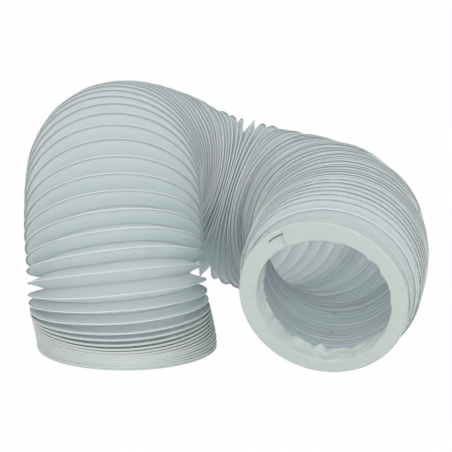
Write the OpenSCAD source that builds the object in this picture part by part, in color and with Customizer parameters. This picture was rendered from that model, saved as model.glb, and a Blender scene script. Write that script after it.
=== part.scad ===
// Flexible air duct: a pleated vinyl hose on one steel wire helix, partly drawn out and bent.
// It stands on its foot, arches over backwards, turns right and comes forward to its mouth.
// Millimetres. The origin is the centre of the foot's rim, on the floor. +Z is up.
// The mouth opens towards -Y, and +X is to the right of someone who looks into it.

/* [Hose] */
// Diameter over the wire turns
hose_d = 108; // [100:1:116]
// Depth of a pleat, from its wire in to its fold
pleat_h = 12.2; // [9:0.1:15]
// Film of a pleat, measured along the hose's radius
film_t = 0.8; // [0.6:0.1:1.2]

/* [Wire] */
// Height of the wire's section, outwards from the film
wire_h = 0.8; // [0.6:0.1:1]
// Width of the wire's section, along the hose
wire_w = 0.7; // [0.6:0.1:0.8]

/* [Turns] */
// Spacing of the turns in the packed foot
foot_pitch = 1.85; // [1.6:0.05:2.5]
// Spacing of the turns low on the column
low_pitch = 5; // [4.5:0.1:6]
// Spacing of the turns high on the column, which is drawn out the most
column_pitch = 7.3; // [6:0.1:8]
// Spacing of the turns over the arch and on to the mouth
arch_pitch = 5; // [4.6:0.1:6]
// Spacing of the last turns, held apart by the folded film of the mouth
lip_pitch = 9; // [7:0.5:10]
// Least spacing of the turns, where they pack on the inner side of a bend
packed_pitch = 1.15; // [1.1:0.05:1.6]
// Length of hose that stays packed at the foot
foot_len = 22; // [18:1:26]
// Length of hose up to where the column's turns begin to open out
low_len = 52; // [45:1:60]
// Length of hose up to the top of the arch
column_len = 122; // [115:1:140]
// Distance that the packed turns have slid sideways over the foot
foot_slide = 5; // [0:0.5:7]
// Turns in the foot, which stretches
foot_turns = 11; // [9:1:12]
// Turns in the neck, which swings
neck_turns = 9; // [8:1:10]
// Turns in the mouth's run, which stretches
mouth_turns = 8; // [7:1:9]

/* [Turned-in ends] */
// Distance that the folded film draws in the last turns at the mouth
mouth_draw = 4; // [1:0.5:7]
// Clearance between the tucked-in film and the folds of the pleats round it
tuck_gap = 2.2; // [0.5:0.1:5]
// Thickness of the folded film across an end
cuff_t = 0.9; // [0.7:0.1:1.2]
// Thickness of the film that is tucked into the bore
tuck_t = 1; // [0.8:0.1:1.5]
// Depth that the film is tucked into the bore
tuck_len = 10; // [8:0.5:14]

/* [Mouth] */
// Turn of the mouth to the left of straight ahead, in degrees
mouth_turn = 14; // [8:1:18]
// Tilt of the mouth down to the floor, in degrees
mouth_tilt = 16; // [10:1:18]

/* [Hidden] */

film_colour = "#dfe8e9";
wire_colour = "#c9d3d6";
cuff_colour = "#e6ebe8";

// Points around the hose in one turn of a pleat or of the wire
turn_points = 12;
// Angle at which the strip and the wire begin, round the foot's axis
first_angle = 120;

hose_r = hose_d / 2;
crest_r = hose_r - wire_h;
fold_r = crest_r - pleat_h;
mouth_r = hose_r - mouth_draw;
// Radius of the free opening inside the turned-in film
opening_r = fold_r - film_t - tuck_gap - tuck_t;

// ---- Route of the centreline ----------------------------------------------------------------
// The points pull a smooth curve along the hose. They are written for a hose 54 mm in radius,
// and the route grows and shrinks with the hose, because its bends can only be so tight.
size = hose_r / 54;
mouth_yaw = -(90 + mouth_turn);
mouth_dir = [
    cos(mouth_tilt) * cos(mouth_yaw), cos(mouth_tilt) * sin(mouth_yaw), -sin(mouth_tilt)
];
straight_end = 50;
// The mouth's rim just touches the floor
mouth_centre = [120 * size, -71 * size, mouth_r * cos(mouth_tilt)];
route = concat(
    [
        [0, 0, 0], [0, 0, 23], [-1, 1, 41.5], [-3, 11, 65], [-4, 34.5, 86.5], [-5, 73.5, 95.5],
        [10, 111, 87.5], [44, 134, 67], [92, 129, 54], [135, 84, 55.5]
    ] * size,
    [mouth_centre - straight_end * size * mouth_dir, mouth_centre]
);
last = len(route) - 1;
// One point past each end makes the curve start and stop on the route's own ends, unbent there
pulls = concat([2 * route[0] - route[1]], route, [2 * route[last] - route[last - 1]]);

function unit(v) = v / norm(v);
function ease(x) = let (c = min(max(x, 0), 1)) c * c * (3 - 2 * c);

// Point, direction and bend of a uniform cubic B-spline
function span(u) = min(floor(u), last - 1);
function curve(u) = let (i = span(u), f = u - i)
    (pulls[i] * pow(1 - f, 3) + pulls[i + 1] * (3 * pow(f, 3) - 6 * f * f + 4)
        + pulls[i + 2] * (3 * f + 3 * f * f - 3 * pow(f, 3) + 1) + pulls[i + 3] * pow(f, 3)) / 6;
function curve_d1(u) = let (i = span(u), f = u - i)
    (-pulls[i] * pow(1 - f, 2) + pulls[i + 1] * (3 * f * f - 4 * f)
        + pulls[i + 2] * (1 + 2 * f - 3 * f * f) + pulls[i + 3] * f * f) / 2;
function curve_d2(u) = let (i = span(u), f = u - i)
    pulls[i] * (1 - f) + pulls[i + 1] * (3 * f - 2) + pulls[i + 2] * (1 - 3 * f) + pulls[i + 3] * f;
function curvature(u) = let (v = curve_d1(u)) norm(cross(v, curve_d2(u))) / pow(norm(v), 3);

// The route is walked in small steps, which carry a direction across the hose along with them
// without twisting it
steps = 24 * last;
function step_u(i) = i * last / steps;
walk = [for (i = [0:steps]) curve(step_u(i))];
heading = [for (i = [0:steps]) unit(curve_d1(step_u(i)))];
function level(v, t) = unit(v - (v * t) * t);
across = [
    for (i = 0, v = [1, 0, 0]; i <= steps; i = i + 1, v = i <= steps ? level(v, heading[i]) : v) v
];
travel = [
    for (i = 0, s = 0; i <= steps; i = i + 1, s = i <= steps ? s + norm(walk[i] - walk[i - 1]) : s) s
];
hose_len = travel[steps];

// ---- Spacing of the turns -------------------------------------------------------------------
// The hose is drawn out from its packed foot on, the most along its column. In a tight bend the
// turns pack on the inner side and fan out towards the outer side.
foot_settle = 5;
column_settle = 35;
lip_settle = 12;
lip_len = 10;
drawn = [
    [0, foot_pitch], [foot_len, foot_pitch], [foot_len + foot_settle, low_pitch],
    [low_len, low_pitch], [low_len + column_settle, column_pitch],
    [column_len, column_pitch], [column_len + column_settle, arch_pitch],
    [hose_len - lip_len - lip_settle, arch_pitch], [hose_len - lip_len, lip_pitch],
    [hose_len, lip_pitch]
];
function turns_per_mm(i) = min(
    1 / lookup(travel[i], drawn), (1 - hose_r * curvature(step_u(i))) / packed_pitch
);
wound = [
    for (i = 0, w = 0; i <= steps;
        i = i + 1,
        w = i <= steps ? w + (travel[i] - travel[i - 1]) * (turns_per_mm(i) + turns_per_mm(i - 1)) / 2 : w)
    w
];
// The turns start and stop just inside the two turned-in ends
end_gap = cuff_t + wire_w / 2;
along = [for (i = [0:steps]) [travel[i], wound[i]]];
wound_first = lookup(end_gap, along);
wound_last = lookup(hose_len - end_gap, along);
crest_turns = floor(wound_last - wound_first);
turns = crest_turns - 1;
travel_at = [for (i = [0:steps]) [step_u(i), travel[i]]];
turn_place = [
    for (i = [0:steps]) [(wound[i] - wound_first) * crest_turns / (wound_last - wound_first), step_u(i)]
];

// The packed turns of the foot have slid to the left, one on the other, and carry the rest along
slide_len = 34;
function slid(u) = [-foot_slide * ease(lookup(u, travel_at) / slide_len), 0, 0];
// How far a turn is drawn in towards the mouth's smaller rim
draw_len = 24;
function drawn_in(u) =
    (hose_r - mouth_r) * ease((lookup(u, travel_at) - hose_len + draw_len) / (draw_len - lip_len));

// Point n of the helix: half is how much of a turn further on along the hose it lies, r is its
// radius, drawn says if it is drawn in at the mouth and shift moves it along the hose
function hose_point(n, half, r, drawn = true, shift = 0) =
    let (
        u = lookup(n / turn_points + half, turn_place),
        t = unit(curve_d1(u)),
        k = u * steps / last,
        i = min(floor(k), steps - 1),
        x = level(across[i] * (i + 1 - k) + across[i + 1] * (k - i), t),
        y = cross(t, x),
        a = first_angle + 360 * n / turn_points
    )
    curve(u) + slid(u) + (r - (drawn ? drawn_in(u) : 0)) * (cos(a) * x + sin(a) * y) + shift * t;

points_all = crest_turns * turn_points;
crest_out = [for (n = [0:points_all]) hose_point(n, 0, crest_r)];
crest_in = [for (n = [0:points_all]) hose_point(n, 0, crest_r - film_t)];
fold_out = [for (n = [0:points_all - turn_points]) hose_point(n, 0.5, fold_r, false)];
fold_in = [for (n = [0:points_all - turn_points]) hose_point(n, 0.5, fold_r - film_t, false)];
wire_back = [for (n = [0:points_all]) hose_point(n, 0, hose_r, true, -wire_w / 2)];
wire_front = [for (n = [0:points_all]) hose_point(n, 0, hose_r, true, wire_w / 2)];

// Where each stretch of the hose ends, in turns. The column rises to the top of the arch, the arch
// comes down over the back, the rear turns to the right and the bend comes forward to the neck.
column_share = 0.42;
arch_share = 0.58;
rear_share = 0.70;
column_end = round(turns * column_share);
arch_end = round(turns * arch_share);
rear_end = round(turns * rear_share);
neck_end = turns - mouth_turns;
bend_end = neck_end - neck_turns;

echo(turns = turns, hose_len = hose_len, mouth = mouth_centre + slid(last));
echo(least_gap_between_turns = min([
    for (n = [0:points_all - turn_points]) norm(wire_back[n + turn_points] - wire_front[n])
]));
echo(least_height = min([for (p = concat(wire_back, wire_front)) p[2]]));
echo(tightest_bend = 1 / max([for (i = [0:steps]) curvature(step_u(i))]));

// ---- Pieces ---------------------------------------------------------------------------------
// Two triangles of a four-sided patch
function patch(a, b, c, d) = [[a, b, c], [a, c, d]];
function joined(lists) = [for (l = lists) each l];

// Film from one turn to another, pleated between the wire crest and the fold: a strip wound
// round the hose, with an outer face, an inner face, two edges and two cut ends
module film(from_turn, to_turn) {
    first = from_turn * turn_points;
    count = (to_turn - from_turn) * turn_points;
    rows = count + turn_points + 1;
    function co(n) = n;
    function ci(n) = rows + n;
    function fo(n) = 2 * rows + n;
    function fi(n) = 2 * rows + count + 1 + n;
    t = turn_points;
    points = concat(
        [for (n = [0:rows - 1]) crest_out[first + n]],
        [for (n = [0:rows - 1]) crest_in[first + n]],
        [for (n = [0:count]) fold_out[first + n]],
        [for (n = [0:count]) fold_in[first + n]]
    );
    walls = joined([
        for (n = [0:count - 1]) concat(
            patch(co(n), fo(n), fo(n + 1), co(n + 1)),
            patch(fo(n), co(n + t), co(n + t + 1), fo(n + 1)),
            patch(ci(n), ci(n + 1), fi(n + 1), fi(n)),
            patch(fi(n), fi(n + 1), ci(n + t + 1), ci(n + t))
        )
    ]);
    edges = joined([
        for (n = [0:t - 1]) concat(
            patch(co(n), co(n + 1), ci(n + 1), ci(n)),
            patch(co(count + n + 1), co(count + n), ci(count + n), ci(count + n + 1))
        )
    ]);
    ends = concat(
        patch(fo(0), co(0), ci(0), fi(0)), patch(co(t), fo(0), fi(0), ci(t)),
        patch(co(count), fo(count), fi(count), ci(count)),
        patch(fo(count), co(count + t), ci(count + t), fi(count))
    );
    color(film_colour) polyhedron(points, concat(walls, edges, ends), convexity = 20);
}

// Wire from one turn to another, seated on the film's crest
module wire(from_turn, to_turn) {
    first = from_turn * turn_points;
    count = (to_turn - from_turn) * turn_points;
    rows = count + 1;
    points = concat(
        [for (n = [0:count]) crest_out[first + n]],
        [for (n = [0:count]) wire_back[first + n]],
        [for (n = [0:count]) wire_front[first + n]]
    );
    sides = joined([
        for (n = [0:count - 1], k = [0:2])
            let (a = k * rows + n, b = (k + 1) % 3 * rows + n) patch(a, b, b + 1, a + 1)
    ]);
    ends = [[2 * rows, rows, 0], [count, rows + count, 2 * rows + count]];
    color(wire_colour) polyhedron(points, concat(sides, ends), convexity = 20);
}

// Film folded flat across an end and tucked into the bore, with its face at z = 0 and the hose
// above it
module turned_in_film(rim_r) {
    color(cuff_colour) rotate_extrude($fn = 96) {
        translate([opening_r, 0]) square([rim_r - opening_r, cuff_t]);
        translate([opening_r, 0]) square([tuck_t, tuck_len]);
    }
}

// Foot: the end that the hose stands on, with its turns packed
module foot_cuff() {
    turned_in_film(hose_r);
}

module foot_pleats() {
    film(0, foot_turns);
}

module foot_wire() {
    wire(0, foot_turns);
}

// Column: up from the foot and over
module column_pleats() {
    film(foot_turns, column_end);
}

module column_wire() {
    wire(foot_turns, column_end);
}

// Arch: down over the back
module arch_pleats() {
    film(column_end, arch_end);
}

module arch_wire() {
    wire(column_end, arch_end);
}

// Rear: along the floor to the right
module rear_pleats() {
    film(arch_end, rear_end);
}

module rear_wire() {
    wire(arch_end, rear_end);
}

// Bend: round to the front
module bend_pleats() {
    film(rear_end, bend_end);
}

module bend_wire() {
    wire(rear_end, bend_end);
}

// Neck: swings the mouth from side to side
module neck_pleats() {
    film(bend_end, neck_end);
}

module neck_wire() {
    wire(bend_end, neck_end);
}

// Mouth: the open end, whose wire goes once round more than its pleats
module mouth_pleats() {
    film(neck_end, turns);
}

module mouth_wire() {
    wire(neck_end, crest_turns);
}

module mouth_cuff() {
    translate(mouth_centre + slid(last)) rotate([0, 90 + mouth_tilt, mouth_yaw]) mirror([0, 0, 1])
        turned_in_film(mouth_r);
}

foot_cuff();
foot_pleats();
foot_wire();
column_pleats();
column_wire();
arch_pleats();
arch_wire();
rear_pleats();
rear_wire();
bend_pleats();
bend_wire();
neck_pleats();
neck_wire();
mouth_pleats();
mouth_wire();
mouth_cuff();
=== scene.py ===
"""Flexible air duct: a pleated vinyl hose on one steel wire helix, drawn out and bent into a U."""

import math

import bpy
import numpy as np
from mathutils import Matrix, Vector, noise


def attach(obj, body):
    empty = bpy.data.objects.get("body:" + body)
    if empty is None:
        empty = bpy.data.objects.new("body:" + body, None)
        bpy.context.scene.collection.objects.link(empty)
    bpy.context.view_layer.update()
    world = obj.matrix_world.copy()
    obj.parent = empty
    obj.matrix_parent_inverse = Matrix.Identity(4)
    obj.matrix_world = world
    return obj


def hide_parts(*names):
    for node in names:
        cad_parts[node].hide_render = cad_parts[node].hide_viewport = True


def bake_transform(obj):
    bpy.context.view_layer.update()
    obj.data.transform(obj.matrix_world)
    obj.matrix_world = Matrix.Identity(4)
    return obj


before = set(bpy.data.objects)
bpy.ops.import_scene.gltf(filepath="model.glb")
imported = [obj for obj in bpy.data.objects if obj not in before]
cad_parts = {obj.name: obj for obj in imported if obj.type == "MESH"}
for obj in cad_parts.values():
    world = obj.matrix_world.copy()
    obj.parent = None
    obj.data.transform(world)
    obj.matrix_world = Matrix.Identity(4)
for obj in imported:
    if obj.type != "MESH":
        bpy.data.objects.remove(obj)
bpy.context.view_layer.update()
scene = bpy.context.scene


# ---- Camera ----------------------------------------------------------------------------------
# A long lens stands well back from the hose and a little above it, so that the turns stay nearly
# parallel from the foot to the mouth.
def add_object(name, data):
    """A new object in the scene."""
    made = bpy.data.objects.new(name, data)
    scene.collection.objects.link(made)
    return made


look_down = math.radians(13.2)
look_at = Vector((0.0593, -0.0739, 0.0916))
distance = 1.741
picture_width, focal_pixels = 452, 3056
ahead = Vector((0, math.cos(look_down), -math.sin(look_down)))
lens = bpy.data.cameras.new("camera")
lens.sensor_width = 36
lens.lens = focal_pixels / picture_width * lens.sensor_width
lens.clip_start, lens.clip_end = 0.05, 30
camera = add_object("camera", lens)
camera.location = look_at - ahead * distance
camera.rotation_euler = (math.pi / 2 - look_down, 0, 0)
scene.camera = camera

# ---- Film sleeve -----------------------------------------------------------------------------
# One strip of thin white vinyl film is wound round the hose and welded along its edges over the
# wire, so that it hangs between the turns in sharp pleats. It is packed at the foot, drawn out up
# the column, and fanned out round the outer side of each bend.
mm = 0.001
hose_radius = 54 * mm
mouth_radius = 50 * mm
crest_radius = 53.5 * mm
pleat_depth = 12.2 * mm
film_thickness = 0.12 * mm
askew_share = 0.36

# The hose's line is a smooth curve that its guide points pull at, in millimetres. It starts at the
# foot, straight up, and ends square to the mouth's face, whose rim touches the floor.
mouth_yaw, mouth_tilt = math.radians(-104), math.radians(16)
mouth_dir = np.array([
    math.cos(mouth_tilt) * math.cos(mouth_yaw), math.cos(mouth_tilt) * math.sin(mouth_yaw),
    -math.sin(mouth_tilt),
])
route_end = np.array([120, -71, 50 * math.cos(mouth_tilt)])
last_straight = 50
route = np.vstack([
    (0, 0, 0), (0, 0, 23), (-1, 1, 41.5), (-3, 11, 65), (-4, 34.5, 86.5), (-5, 73.5, 95.5),
    (10, 111, 87.5), (44, 134, 67), (92, 129, 54), (135, 84, 55.5),
    route_end - last_straight * mouth_dir, route_end,
]) * mm
last = len(route) - 1
pulls = np.vstack([2 * route[0] - route[1], route, 2 * route[last] - route[last - 1]])

knots = np.linspace(0, last, 9601)
first = np.minimum(knots.astype(int), last - 1)
t = (knots - first)[:, None]
p0, p1, p2, p3 = (pulls[first + k] for k in range(4))
line = (
    p0 * (1 - t) ** 3 + p1 * (3 * t**3 - 6 * t**2 + 4)
    + p2 * (3 * t + 3 * t**2 - 3 * t**3 + 1) + p3 * t**3
) / 6
speed = (-p0 * (1 - t) ** 2 + p1 * (3 * t**2 - 4 * t) + p2 * (1 + 2 * t - 3 * t**2) + p3 * t**2) / 2
turning = p0 * (1 - t) + p1 * (3 * t - 2) + p2 * (1 - 3 * t) + p3 * t
pace = np.linalg.norm(speed, axis=1)
heading = speed / pace[:, None]
curvature = np.linalg.norm(np.cross(speed, turning), axis=1) / pace**3
travel = np.concatenate([[0], np.cumsum(np.linalg.norm(np.diff(line, axis=0), axis=1))])
hose_length = travel[-1]

# One direction across the hose is carried along it without twisting
across = np.zeros_like(line)
side = np.array([1.0, 0, 0])
for row, ahead_here in enumerate(heading):
    side = side - (side @ ahead_here) * ahead_here
    side /= np.linalg.norm(side)
    across[row] = side


def eased(x):
    x = np.clip(x, 0, 1)
    return x * x * (3 - 2 * x)


def rises(start, end):
    """0 before start and 1 after end, in millimetres of travel. It falls where end comes first."""
    return eased((travel - start * mm) / ((end - start) * mm))


# How far apart the turns are, as (travel, spacing) in millimetres. In a tight bend they all but
# touch on the inner side, and round the back they lie in loose bunches.
spacing_law = [
    (0, 1.85), (22, 1.85), (27, 5), (52, 5), (87, 7.3), (122, 7.3), (157, 5), (370, 5), (380, 4.8),
    (440, 4.7), (455, 5), (467, 9), (478, 9),
]
at_travel, apart = np.array(spacing_law).T * mm
spacing = np.interp(travel, at_travel, apart)
packed_spacing = 1.15 * mm
turns_per_metre = np.minimum(1 / spacing, (1 - hose_radius * curvature) / packed_spacing)
large_bunches, small_bunches, small_share, bunching_strength = 62, 131, 0.6, 0.85
bunching = np.array([
    noise.noise(Vector((along * large_bunches, 3, 0)))
    + small_share * noise.noise(Vector((along * small_bunches, 7, 0)))
    for along in travel
])
bunched = rises(175, 225) * rises(435, 395)
turns_per_metre *= np.clip(1 + bunching_strength * bunching * bunched, 0.5, 1.6)

# The turns are counted along the hose, from the first one, just inside the foot's rim, to the last
rim = 1.3 * mm
wound = np.concatenate([
    [0], np.cumsum(np.diff(travel) * (turns_per_metre[1:] + turns_per_metre[:-1]) / 2)
])
first_wound, last_wound = np.interp([rim, hose_length - rim], travel, wound)
crest_turns = int(last_wound - first_wound)
film_turns = crest_turns - 1
turn_at = (wound - first_wound) * crest_turns / (last_wound - first_wound)
between_turns = np.gradient(travel, turn_at)

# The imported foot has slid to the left, and it sags at the front, where the turns above it open.
# The folded film draws the mouth's last turns in.
slid_left, front_sag = 5, 5 * mm
line[:, 0] -= slid_left * mm * rises(0, 34)
sag = front_sag * rises(0, 17) * rises(27, 17)
drawn_in_from, drawn_in_over = 24 * mm, 14 * mm
drawn_in = (hose_radius - mouth_radius) * eased(
    (travel - hose_length + drawn_in_from) / drawn_in_over
)
loose = 0.3 * mm + 1.7 * mm * bunched


def travel_of(turn):
    """How far along the hose a turn is."""
    return np.interp(turn, turn_at, travel)


# The spine holds the hose's line at even steps of a turn, for the pleats and the wire to follow
steps_per_turn = 48
turn_row = np.arange(crest_turns * steps_per_turn + 2) / steps_per_turn


def at_turns(values):
    """Values along the hose, read at the spine's steps."""
    return np.stack([np.interp(turn_row, turn_at, v) for v in np.atleast_2d(values)], 1)


spine_mesh = bpy.data.meshes.new("spine")
spine_mesh.from_pydata(at_turns(line.T).tolist(), [], [])
for name, values in (("heading", heading.T), ("across", across.T)):
    layer = spine_mesh.attributes.new(name, "FLOAT_VECTOR", "POINT")
    layer.data.foreach_set("vector", at_turns(values).astype(np.float32).ravel())
for name, values in (
    ("drawn in", drawn_in), ("spacing", between_turns), ("loose", loose), ("sag", sag),
):
    layer = spine_mesh.attributes.new(name, "FLOAT", "POINT")
    layer.data.foreach_set("value", at_turns(values).astype(np.float32).ravel())


class Link:
    """A link in a node tree. Sums and products of links add the nodes that work them out."""

    def __init__(self, tree, socket=None):
        self.tree, self.socket = tree, socket

    def node(self, kind, settings=None, sockets=None, out=0):
        """A node of this type, with its settings, then its sockets' values or links."""
        made = self.tree.nodes.new(kind)
        for name, value in (settings or {}).items():
            setattr(made, name, value)
        for name, value in (sockets or {}).items():
            if isinstance(value, Link):
                self.tree.links.new(value.socket, made.inputs[name])
            else:
                made.inputs[name].default_value = value
        return Link(self.tree, made.outputs[out])

    def beside(self, name):
        """Another output of the same node."""
        return Link(self.tree, self.socket.node.outputs[name])

    def feeds(self, socket):
        self.tree.links.new(self.socket, socket)

    def worked_out(self, operation, *values):
        """A Math node on these values, or a Vector Math node where one of them is a vector."""
        vector = any(isinstance(v, Link) and v.socket.type == "VECTOR" for v in values)
        kind = "ShaderNodeVectorMath" if vector else "ShaderNodeMath"
        out = "Value" if operation == "DOT_PRODUCT" else 0
        return self.node(kind, {"operation": operation}, dict(enumerate(values)), out)

    def maths(self, operation, *others):
        """The same with this link first."""
        return self.worked_out(operation, self, *others)

    def __add__(self, other):
        return self.maths("ADD", other)

    def __sub__(self, other):
        return self.maths("SUBTRACT", other)

    def __rsub__(self, other):
        return self.worked_out("SUBTRACT", other, self)

    def __mul__(self, other):
        if self.socket.type != "VECTOR":
            return self.maths("MULTIPLY", other)
        return self.node("ShaderNodeVectorMath", {"operation": "SCALE"}, {0: self, "Scale": other})

    def __truediv__(self, other):
        return self.maths("DIVIDE", other)

    def __pow__(self, other):
        return self.maths("POWER", other)

    __radd__, __rmul__ = __add__, __mul__

    def ranged(self, low, high, from_low=0.0, from_high=1.0):
        """This value taken from low to high over to from_low to from_high, and kept in there."""
        return self.node(
            "ShaderNodeMapRange", None, {0: self, 1: low, 2: high, 3: from_low, 4: from_high}
        )

    def clouds(self, scale, detail):
        """Soft noise, from 0 to 1, at this place."""
        return self.node(
            "ShaderNodeTexNoise", None, {"Vector": self, "Scale": scale, "Detail": detail}
        )

    def mixes(self, colour, other, blend="MIX"):
        """The first colour where this value is 0, and the other where it is 1."""
        return self.node(
            "ShaderNodeMix", {"data_type": "RGBA", "blend_type": blend},
            {0: self, 6: colour, 7: other}, out=2,
        )

    def bumps(self, strength, deep):
        """The surface's direction with this value as its height."""
        return self.node(
            "ShaderNodeBump", None, {"Strength": strength, "Distance": deep, "Height": self}
        )

    def stored(self, label, value):
        """This geometry with the value kept on its points."""
        return self.node(
            "GeometryNodeStoreNamedAttribute", {"data_type": "FLOAT", "domain": "POINT"},
            {"Geometry": self, "Name": label, "Value": value},
        )


def new_tree(name, inputs):
    """A Geometry Nodes tree with these named inputs, which are also returned as links."""
    tree = bpy.data.node_groups.new(name, "GeometryNodeTree")
    tree.interface.new_socket("Geometry", in_out="OUTPUT", socket_type="NodeSocketGeometry")
    for label, kind in {"Spine": "Geometry", **inputs}.items():
        tree.interface.new_socket(label, in_out="INPUT", socket_type="NodeSocket" + kind)
    given = tree.nodes.new("NodeGroupInput")
    return tree, {label: Link(tree, given.outputs[label]) for label in ["Spine", *inputs]}


def close_tree(geometry, material):
    """The tree gives out this geometry, smooth, realized and with its material."""
    smooth = geometry.node("GeometryNodeSetShadeSmooth", None, {0: geometry})
    whole = geometry.node("GeometryNodeRealizeInstances", None, {0: smooth})
    done = geometry.node("GeometryNodeSetMaterial", None, {"Geometry": whole, "Material": material})
    done.feeds(geometry.tree.nodes.new("NodeGroupOutput").inputs[0])


def place_on_hose(given, turn, round_turns):
    """Links for a turn's centre, the way out from it, its heading, how far it lies in, and the
    distance between turns."""
    spine = given["Spine"]
    row = turn * steps_per_turn
    below = row.maths("FLOOR")
    part = row - below

    def read(name, kind="FLOAT_VECTOR"):
        if name == "position":
            value = spine.node("GeometryNodeInputPosition")
        else:
            value = spine.node(
                "GeometryNodeInputNamedAttribute", {"data_type": kind}, {"Name": name}
            )
        low, high = (
            spine.node(
                "GeometryNodeSampleIndex", {"data_type": kind, "domain": "POINT", "clamp": True},
                {"Geometry": spine, "Value": value, "Index": index},
            )
            for index in (below, below + 1)
        )
        return low + (high - low) * part

    first_direction = math.radians(120)
    head = read("heading")
    x = read("across").maths("NORMALIZE")
    y = head.maths("CROSS_PRODUCT", x)
    angle = round_turns * math.tau + first_direction
    c, s = angle.maths("COSINE"), angle.maths("SINE")
    outwards = x * c + y * s

    def drift(along, shift, around, detail):
        """Noise that changes slowly from turn to turn and joins up round each of them."""
        seed = spine.node(
            "ShaderNodeCombineXYZ", None, {0: turn * along + shift, 1: c * around, 2: s * around}
        )
        return seed.clouds(1.0, detail)

    # Each turn lies a little askew of its neighbours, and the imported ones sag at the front
    between = read("spacing", "FLOAT")
    askew = (drift(0.43, 0.0, 0.55, 1.0) - 0.5) * between * given["Askew"]
    in_front = outwards.maths("DOT_PRODUCT", (0, -1, 0)).maths("MAXIMUM", 0.0) ** 1.6
    centre = read("position") + head * (askew - in_front * read("sag", "FLOAT"))
    # Some turns lie further in than their neighbours, in groups and alone
    in_groups = drift(0.24, 40, 0.5, 2.0).ranged(0.3, 0.7, 0.0, 0.8)
    alone = drift(1.1, 70, 0.4, 0.0).ranged(0.35, 0.65, 0.0, 0.75)
    inwards = read("drawn in", "FLOAT") + (in_groups + alone) * read("loose", "FLOAT")
    return centre, outwards, head, inwards, between


film_tree, given = new_tree("pleated film", {
    "First turn": "Float", "Turns": "Int", "Points round": "Int", "Points across": "Int",
    "Crest radius": "Float", "Pleat depth": "Float", "Fold shape": "Float", "Askew": "Float",
    "Crumple": "Float", "Uneven": "Float", "Material": "Material",
})
start = given["Spine"]
strip = start.node("GeometryNodeMeshGrid", None, {
    "Size X": given["Turns"], "Size Y": 1.0,
    "Vertices X": given["Turns"] * given["Points round"] + 1,
    "Vertices Y": given["Points across"] + 1,
})
flat = start.node("ShaderNodeSeparateXYZ", None, {0: start.node("GeometryNodeInputPosition")})
round_turns = flat + given["Turns"] * 0.5 + given["First turn"]
pleat_share = flat.beside("Y") + 0.5
turn = round_turns + pleat_share
centre, outwards, head, drawn, between = place_on_hose(given, turn, round_turns)

# Each pleat goes from a crest into its fold and out to the next crest, some deeper than others
half = pleat_share * 2 - 1
folded_in = 1 - half.maths("ABSOLUTE") ** given["Fold shape"]
seed = start.node("ShaderNodeCombineXYZ", None, {0: turn * 0.7 + 90, 1: 0.0, 2: 0.0})
depth = given["Pleat depth"] * (1 - seed.clouds(1.0, 1.0) * given["Uneven"])
radius = given["Crest radius"] - folded_in * depth - drawn * (1 - folded_in)
where = centre + outwards * radius

# The film between crest and fold is a little slack, and crumples near a turned-in end
slackness, crumpled_turns = 0.16, 2.2
flank = folded_in * (1 - folded_in) * 4
slack = where.clouds(75.0, 3.0) - 0.5
near_end = (turn - crest_turns + crumpled_turns).maths("MAXIMUM", 0.0).maths("MINIMUM", 1.0)
near_end = given["Crumple"] * near_end
where = where + head * (slack * flank * (between * slackness + near_end * 2))
where = where + outwards * (slack * near_end * folded_in)

# Fold and turn are stored while the strip is flat, because they are read off its flat positions
strip = strip.stored("fold", folded_in).stored("turn", turn)
wrapped = start.node("GeometryNodeSetPosition", None, {"Geometry": strip, "Position": where})
welded = start.node("GeometryNodeMergeByDistance", None, {"Geometry": wrapped, "Distance": 1e-6})
close_tree(welded, given["Material"])


def new_material(name):
    """An empty Principled material, its shader, and a link to build its tree from."""
    material = bpy.data.materials.new(name)
    material.use_nodes = True
    return material, material.node_tree.nodes["Principled BSDF"], Link(material.node_tree)


# Vinyl: white, satin, with a fine grain and a few specks; painted shade makes the folds deeper and
# bluer, and the crests are lighter, partly the hem's own tone and partly a painted highlight
film_vinyl, shader, graph = new_material("white vinyl film")
place = graph.node("ShaderNodeTexCoord", out="Object")
fold = graph.node("ShaderNodeAttribute", {"attribute_name": "fold"}, out="Fac")
cloud = place.clouds(34.0, 3.0)
# Painted shade: the film is deeper and bluer towards the bottom of each fold
shaded_folds = fold.ranged(0.1, 1.0).mixes((0.885, 0.905, 0.895, 1), (0.865, 0.90, 0.91, 1))
# The hem along each crest is lighter: partly the hem's own tone, partly a painted highlight
hem_and_crest_highlight = fold.ranged(0.02, 0.12, 1.0, 0.0).mixes(shaded_folds, (0.90, 0.92, 0.91, 1))
clouded = (cloud * 0.16).mixes(hem_and_crest_highlight, (0.90, 0.94, 0.96, 1), "MULTIPLY")
speck = graph.node(
    "ShaderNodeTexVoronoi", None, {"Vector": place, "Scale": 24.0, "Randomness": 1.0}
).ranged(0.035, 0.06, 0.22, 0.0)
speck.mixes(clouded, (0.36, 0.40, 0.42, 1)).feeds(shader.inputs["Base Color"])
bumped = (place.clouds(120.0, 2.0) + place.clouds(900.0, 2.0) * 0.12).bumps(0.14, 0.6 * mm)
bumped.feeds(shader.inputs["Normal"])
(cloud * 0.16 + 0.34).feeds(shader.inputs["Roughness"])
shader.inputs["Specular IOR Level"].default_value = 0.45
# Light comes through the thin film, from pleat to pleat and into the bore
light_through = 0.75
clear = graph.node(
    "ShaderNodeBsdfTranslucent", None, {"Color": (0.937, 0.961, 0.966, 1), "Normal": bumped}
)
thin = graph.node(
    "ShaderNodeMixShader", None,
    {0: light_through, 1: Link(graph.tree, shader.outputs[0]), 2: clear},
)
thin.feeds(graph.tree.nodes["Material Output"].inputs["Surface"])


def plain_mesh(piece):
    """The piece's shape with its modifiers worked in."""
    depsgraph = bpy.context.evaluated_depsgraph_get()
    return bpy.data.meshes.new_from_object(piece.evaluated_get(depsgraph), depsgraph=depsgraph)


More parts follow.
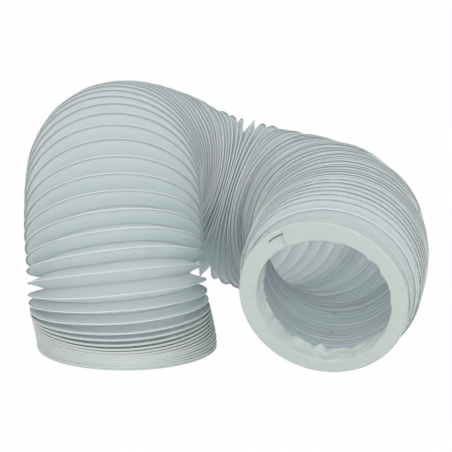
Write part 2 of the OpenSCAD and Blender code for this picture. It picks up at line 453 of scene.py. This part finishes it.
def wind(name, tree, values, wall_thickness=0):
    """One stretch of the hose, made by this tree with these inputs."""
    piece = add_object(name, spine_mesh.copy())
    winding = piece.modifiers.new("winding", "NODES")
    winding.node_group = tree
    for item in tree.interface.items_tree:
        if item.in_out == "INPUT" and item.name in values:
            winding[item.identifier] = values[item.name]
    if wall_thickness:
        wall = piece.modifiers.new("film", "SOLIDIFY")
        wall.thickness, wall.offset, wall.use_even_offset = wall_thickness, 0, False
    mesh = plain_mesh(piece)
    piece.modifiers.clear()
    piece.data = mesh
    mesh.name = name
    return piece


def go_with(piece, bodies, turns):
    """The piece rides on one body. Between two it is only baked in place: the share of the travel
    along the hose, spread evenly as the turns of a spring are, from the end of its first turn to
    the start of its last, is worked out but not kept."""
    if len(bodies) == 1:
        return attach(piece, bodies[0])
    still_turn, last_turn = turns[0] + 1, turns[1]
    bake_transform(piece)
    along = np.zeros(len(piece.data.vertices), np.float32)
    piece.data.attributes["turn"].data.foreach_get("value", along)
    from_travel, to_travel = travel_of(still_turn), travel_of(last_turn)
    share = (travel_of(along) - from_travel) / (to_travel - from_travel)
    share = np.clip(share, 0, 1).astype(np.float32)
    return piece


# Each stretch of the hose, the bodies that it goes with, and the travel in millimetres at its
# end. The last one reaches the end of the film.
stretches, turn_reached = [], 0
for stretch, bodies, reaches in (
    ("foot", ["foot", "hose"], 23), ("column", ["hose"], 193), ("arch", ["hose"], 277),
    ("rear", ["hose"], 335), ("bend", ["hose"], 380.5), ("neck", ["hose", "neck"], 426),
    ("mouth", ["neck", "mouth"], None),
):
    last_turn = film_turns
    if reaches:
        last_turn = int(round(float(np.interp(reaches * mm, travel, turn_at))))
    stretches.append((stretch, bodies, (turn_reached, last_turn)))
    turn_reached = last_turn

for stretch, bodies, turns in stretches:
    film = wind(stretch + "_film", film_tree, {
        "First turn": float(turns[0]), "Turns": turns[1] - turns[0],
        "Points round": 192 if stretch == "mouth" else 96, "Points across": 12,
        "Crest radius": crest_radius, "Pleat depth": pleat_depth, "Fold shape": 1.18,
        "Askew": askew_share, "Crumple": 2.2 * mm, "Uneven": 0.3, "Material": film_vinyl,
    }, film_thickness)
    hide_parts(stretch + "_pleats")
    go_with(film, bodies, turns)

# ---- Wire helix ------------------------------------------------------------------------------
# One spring-steel wire runs the whole length inside the welded seam. The film over it makes the
# thin pale bead that shows along the crest of every pleat.
seam_rise = 0.24 * mm
wire_tree, given = new_tree("wire in its seam", {
    "First turn": "Float", "Turns": "Int", "Points round": "Int", "Seam radius": "Float",
    "Seam width": "Float", "Packed width": "Float", "End width": "Float", "Flatness": "Float",
    "Askew": "Float", "Material": "Material",
})
start = given["Spine"]
points = start.node("GeometryNodeMeshLine", None, {
    "Count": given["Turns"] * given["Points round"] + 1,
})
turn = start.node("GeometryNodeInputIndex") / given["Points round"] + given["First turn"]
centre, outwards, head, drawn, between = place_on_hose(given, turn, turn)
seam = centre + outwards * (given["Seam radius"] - drawn)
laid = start.node("GeometryNodeSetPosition", None, {"Geometry": points, "Position": seam})
# In the imported stack, and under the strip's end, no light comes through the seam from behind, so
# the seam is painted darker there as painted shade
packed_from, open_from = 1.9 * mm, 4 * mm
wrapped_from, wrapped_whole = crest_turns - 1.9, crest_turns - 1.4
under_end = turn.ranged(wrapped_from, wrapped_whole, 0.0, 0.8)
stacked_shade = between.ranged(packed_from, open_from, 1.0, 0.0) + under_end
laid = laid.stored("turn", turn).stored("stacked_shade", stacked_shade)
curve = start.node("GeometryNodeMeshToCurve", None, {0: laid})
curve = start.node(
    "GeometryNodeSetCurveNormal", {"mode": "FREE"}, {"Curve": curve, "Normal": outwards}
)
# Where the turns are packed the film bunches up over the wire and makes a wider seam, and the
# turns before the mouth's last have the strip's end wrapped over them
width = between.ranged(packed_from, open_from, given["Packed width"], given["Seam width"])
wrapped = turn.ranged(wrapped_from, wrapped_whole) * turn.ranged(
    crest_turns - 0.75, crest_turns - 0.5, 1.0, 0.0
)
width = width + wrapped * (given["End width"] - width)
ring = start.node("GeometryNodeCurvePrimitiveCircle", None, {"Resolution": 10, "Radius": 0.5})
squeezed = start.node("ShaderNodeCombineXYZ", None, {0: given["Flatness"], 1: 1.0, 2: 1.0})
ring = start.node("GeometryNodeTransform", None, {"Geometry": ring, "Scale": squeezed})
tube = start.node("GeometryNodeCurveToMesh", None, {
    "Curve": curve, "Profile Curve": ring, "Scale": width, "Fill Caps": True,
})
close_tree(tube, given["Material"])

seam_vinyl, shader, graph = new_material("film welded over the wire")
place = graph.node("ShaderNodeTexCoord", out="Object")
weld = place.clouds(160.0, 2.0)
tint = weld.mixes((0.82, 0.865, 0.855, 1), (0.87, 0.90, 0.885, 1))
# Painted shade: the seam is darker where the turns are stacked and under the strip's end
stacked_shade = graph.node("ShaderNodeAttribute", {"attribute_name": "stacked_shade"}, out="Fac")
stacked_shade.mixes(tint, (0.64, 0.69, 0.66, 1)).feeds(shader.inputs["Base Color"])
(weld * 0.2 + 0.3).feeds(shader.inputs["Roughness"])
weld.bumps(0.2, 0.2 * mm).feeds(shader.inputs["Normal"])

for stretch, bodies, turns in stretches:
    end_turn = crest_turns if stretch == "mouth" else turns[1]
    bead = wind(stretch + "_wire_seam", wire_tree, {
        "First turn": float(turns[0]), "Turns": end_turn - turns[0], "Points round": 120,
        "Seam radius": hose_radius - seam_rise, "Seam width": 0.7 * mm,
        "Packed width": 1.5 * mm, "End width": 2.8 * mm, "Flatness": 0.58,
        "Askew": askew_share, "Material": seam_vinyl,
    })
    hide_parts(stretch + "_wire")
    go_with(bead, bodies, turns)

# ---- Mouth end -------------------------------------------------------------------------------
# At the mouth the sleeve's film is folded flat over the last turn of wire and tucked into the
# bore. The band is crumpled, its inner edge is ragged, and the strip's cut end laps over itself.
mouth_centre = (route_end - (slid_left, 0, 0)) * mm
face_right = np.array([-mouth_dir[1], mouth_dir[0], 0])
face_right /= np.linalg.norm(face_right)
face_up = np.cross(mouth_dir, face_right)
mouth_place = Matrix.Identity(4)
for k, column in enumerate((face_right, face_up, mouth_dir, mouth_centre)):
    for row in range(3):
        mouth_place[row][k] = column[row]

end_vinyl, shader, graph = new_material("folded vinyl film")
place = graph.node("ShaderNodeTexCoord", out="Object")
cloud = place.clouds(60.0, 3.0)
tint = cloud.mixes((0.61, 0.67, 0.64, 1), (0.67, 0.715, 0.68, 1))
tint.feeds(shader.inputs["Base Color"])
(cloud * 0.2 + 0.36).feeds(shader.inputs["Roughness"])
creased = (place.clouds(110.0, 3.0) + place.clouds(1200.0, 1.0) * 0.08).bumps(0.35, 0.8 * mm)
creased.feeds(shader.inputs["Normal"])
shader.inputs["Subsurface Weight"].default_value = 0.12
shader.inputs["Subsurface Scale"].default_value = 2 * mm


def fold_film(name, profile, points, thickness, place, span=math.tau):
    """Film swept round an end: profile(angle, share) gives radius and height, in millimetres, and
    points says how many there are round the end and along the profile."""
    closed = span >= math.tau
    angles = np.linspace(0, span, points[0], endpoint=not closed)
    shares = np.linspace(0, 1, points[1])
    corners = [
        (r * math.cos(a) * mm, r * math.sin(a) * mm, z * mm)
        for a in angles for r, z in (profile(a, s) for s in shares)
    ]
    rows, columns = points
    faces = [
        (
            i * columns + j, (i + 1) % rows * columns + j,
            (i + 1) % rows * columns + j + 1, i * columns + j + 1,
        )
        for i in range(rows if closed else rows - 1) for j in range(columns - 1)
    ]
    mesh = bpy.data.meshes.new(name)
    mesh.from_pydata(corners, [], faces)
    mesh.transform(place)
    mesh.materials.append(end_vinyl)
    for polygon in mesh.polygons:
        polygon.use_smooth = True
    piece = add_object(name, mesh)
    wall = piece.modifiers.new("film", "SOLIDIFY")
    wall.thickness, wall.offset = thickness, 0
    solid = plain_mesh(piece)
    piece.modifiers.clear()
    piece.data = solid
    return piece


def wave(a, turns, amount, seed):
    """Smooth noise round an end that joins up with itself."""
    return amount * noise.noise(Vector((math.cos(a) * turns, math.sin(a) * turns, seed)))


def bump_at(a, centre, width):
    """1 at the centre, falling off over the width on both sides, both in degrees."""
    gap = math.remainder(a - math.radians(centre), math.tau) / math.radians(width)
    return math.exp(-gap * gap)


def along_profile(s, profile):
    """Radius and height at a share of the way through a profile of (share, radius, height)."""
    shares, radii, heights = zip(*profile)
    return float(np.interp(s, shares, radii)), float(np.interp(s, shares, heights))


# Shares of the band's profile: the face lies between the first two, and the third starts the tuck
face_from, face_share, tuck_from = 0.2, 0.44, 0.66


def mouth_band(a, s):
    """From the rim's outer side, over its edge, across the face and down into the bore."""
    scallops = 1.9 * abs(math.sin(7.5 * a + wave(a, 2, 2.5, 8))) + wave(a, 9, 0.7, 5)
    inner = 39.6 - 1.6 * math.sin(a) + wave(a, 1.6, 0.7, 3)
    inner += bump_at(a, 55, 48) * scallops
    outer = mouth_radius / mm - 0.35
    tuck = 7 + 3 * wave(a, 1.2, 1.0, 11) + 3.5 * bump_at(a, 235, 55)
    lean = 3.6 * bump_at(a, 215, 62) + 2.2 * bump_at(a, 300, 30) - 0.8 * max(0.0, math.sin(a))
    r, z = along_profile(s, (
        (0, outer - 0.9, -3.2), (0.1, outer, -1.3), (0.16, outer - 0.25, -0.35),
        (face_from, outer - 1.1, 0.0), (0.62, inner + 0.5, 0.0), (tuck_from, inner, -0.3),
        (0.72, inner - 0.15, -1.0), (1, inner - lean, -tuck),
    ))
    if face_from < s < face_from + face_share:
        crumpled = 0.25 + 0.75 * bump_at(a, 85, 55)
        z += wave(a, 7, 0.5, 21) * crumpled * math.sin(math.pi * (s - face_from) / face_share)
        z += 0.35 * noise.noise(Vector((r * math.cos(a) * 0.22, r * math.sin(a) * 0.22, 4)))
    if s > tuck_from:
        deep = (s - tuck_from) / (1 - tuck_from)
        crush = 0.35 + bump_at(a, 235, 70)
        creases = 1.9 * bump_at(a, 262, 4) - 1.2 * bump_at(a, 269, 3) + 1.3 * bump_at(a, 205, 4)
        r += deep * crush * (wave(a, 4, 1.9, 31 + 1.5 * deep) + wave(a, 11, 0.9, 41 + 3 * deep))
        r -= deep * creases
        z += deep * crush * wave(a, 5, 1.0, 51)
    return r, z


band = fold_film("mouth_band", mouth_band, (480, 56), 0.22 * mm, mouth_place)
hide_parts("mouth_cuff")
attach(band, "mouth")

flap_from, flap_span, flap_cut = math.radians(72), math.radians(48), math.radians(122)


def lapped_end(a, s):
    """The strip's cut end, a flap that lies raised on the band and runs into it."""
    a += flap_from
    ahead = (flap_cut - a) / flap_span
    lift = 1.2 * (1 - eased(ahead)) + 0.12
    outer = 50.2 + 0.9 * (1 - eased(ahead * 1.6))
    inner = 38.2 + wave(a, 9, 0.5, 5)
    r = outer + (inner - outer) * s
    # Its cut edge is straight, not round
    if ahead < 0.2 and math.cos(a) < -0.2:
        r = min(r, max(-20.8 / math.cos(a), inner))
    ripple = 0.35 * math.sin(9 * ahead + 5 * s) * (1 - ahead)
    return r, lift * (1 - 0.5 * s) + ripple + wave(a, 7, 0.3, 61 + 2 * s)


flap_place = mouth_place @ Matrix.Rotation(flap_from, 4, "Z")
flap = fold_film("mouth_lapped_end", lapped_end, (60, 22), 0.18 * mm, flap_place, flap_span)
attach(flap, "mouth")

# The wire's cut end lies partly sunk in the band beside the flap; the slit it comes out of is not
# modelled, and the wire's dark steel also stands in for the slit's shade, as painted shade
slit_from, slit_span, slit_steps = 130, 14, 8
wire_line = bpy.data.curves.new("wire_end", "CURVE")
wire_line.dimensions, wire_line.bevel_depth, wire_line.bevel_resolution = "3D", 0.32 * mm, 2
wire_line.use_fill_caps = True
spline = wire_line.splines.new("POLY")
spline.points.add(slit_steps)
for k, point in enumerate(spline.points):
    a = math.radians(slit_from - slit_span * k / slit_steps)
    bow = math.sin(k / slit_steps * math.pi)
    r, z = 46.2 + 0.4 * bow, 0.15 + 0.1 * bow
    place_here = Vector((r * math.cos(a) * mm, r * math.sin(a) * mm, z * mm))
    point.co = (*(mouth_place @ place_here), 1)

# Dark steel: the wire's own colour, and partly painted shade for the slit round it
steel, shader, graph = new_material("dull spring steel and slit shade")
place = graph.node("ShaderNodeTexCoord", out="Object")
drawn_marks = place.clouds(500.0, 2.0)
tone = drawn_marks.mixes((0.10, 0.11, 0.11, 1), (0.22, 0.23, 0.23, 1))
tone.feeds(shader.inputs["Base Color"])
(drawn_marks * 0.2 + 0.4).feeds(shader.inputs["Roughness"])
shader.inputs["Metallic"].default_value = 0.7
wire_line.materials.append(steel)
curved = add_object("wire_end_curve", wire_line)
wire_end = add_object("mouth_wire_end_and_slit_shade", plain_mesh(curved))
bpy.data.objects.remove(curved)
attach(wire_end, "mouth")


# ---- Foot end --------------------------------------------------------------------------------
# The foot's film is folded over the first turn of wire and tucked in like the mouth's. The hose
# stands on it, so it is pressed flatter.
def foot_band(a, s):
    """From the outer side, over the edge, across the underside and up into the bore."""
    inner = 38.5 + wave(a, 1.6, 0.9, 73) + wave(a, 6, 0.5, 75)
    outer = hose_radius / mm - 0.35
    tuck = 7.5 + 3 * wave(a, 1.2, 1.0, 81)
    r, z = along_profile(s, (
        (0, outer - 0.9, -1.7), (0.1, outer, -1.0), (0.16, outer - 0.25, -0.45),
        (face_from, outer - 1.1, -0.15), (0.62, inner + 0.5, -0.15), (tuck_from, inner, -0.4),
        (0.72, inner - 0.15, -1.0), (1, inner - 1, -tuck),
    ))
    if s > tuck_from:
        deep = (s - tuck_from) / (1 - tuck_from)
        r += deep * (wave(a, 5, 1.2, 91 + 2 * deep) + wave(a, 13, 0.8, 95 + 4 * deep))
    return r, z


upside_down = Matrix.Rotation(math.pi, 4, "X")
foot = fold_film("foot_band", foot_band, (360, 48), 0.22 * mm, upside_down)
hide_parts("foot_cuff")
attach(foot, "foot")


# ---- Floor and light -------------------------------------------------------------------------
# A plain white floor that keeps a faint shadow, one broad soft lamp above and to the left, a
# stronger one in front, and a pale sky all round.
def seen_directly(graph):
    """1 for what the camera sees, straight, mirrored or through something clear, and else 0."""
    ray = graph.node("ShaderNodeLightPath")
    seen = ray.maths("MAXIMUM", ray.beside("Is Glossy Ray"))
    return seen.maths("MAXIMUM", ray.beside("Is Transmission Ray"))


half_width = 9
floor_mesh = bpy.data.meshes.new("floor")
floor_mesh.from_pydata(
    [(x * half_width, y * half_width, 0) for x, y in ((-1, -1), (1, -1), (1, 1), (-1, 1))],
    [], [(0, 1, 2, 3)],
)
floor = add_object("floor", floor_mesh)
ground, shader, graph = new_material("white floor")
shader.inputs["Base Color"].default_value = (0.86, 0.87, 0.87, 1)
shader.inputs["Roughness"].default_value = 0.9
glow = graph.node("ShaderNodeEmission", None, {"Color": (1, 1, 1, 1), "Strength": 1.0})
shown = graph.node(
    "ShaderNodeMixShader", None,
    {0: seen_directly(graph) * 0.985, 1: Link(graph.tree, shader.outputs[0]), 2: glow},
)
shown.feeds(graph.tree.nodes["Material Output"].inputs["Surface"])
floor_mesh.materials.append(ground)

world = bpy.data.worlds.new("sky")
scene.world = world
world.use_nodes = True
sky = world.node_tree.nodes["Background"]
sky.inputs["Color"].default_value = (1, 1, 1, 1)
(seen_directly(Link(world.node_tree)) * 0.4 + 0.6).feeds(sky.inputs["Strength"])

lit_place = Vector((0.05, 0.05, 0.06))
for name, spot, power, colour in (
    ("key", (-1.1, -1.6, 2.4), 8, (1, 0.99, 0.97)),
    ("front", (0.15, -2.7, 1.0), 22, (0.96, 0.98, 1)),
):
    lamp = bpy.data.lights.new(name, "AREA")
    lamp.shape, lamp.size, lamp.energy, lamp.color = "DISK", 1.6, power, colour
    lamp_object = add_object(name, lamp)
    lamp_object.location = spot
    lamp_object.rotation_euler = (lit_place - Vector(spot)).to_track_quat("-Z", "Y").to_euler()

scene.view_settings.view_transform = "Standard"
# Light passes through many folds of thin film before it gets into the bore
scene.cycles.max_bounces, scene.cycles.diffuse_bounces = 32, 10
scene.cycles.transmission_bounces = 28
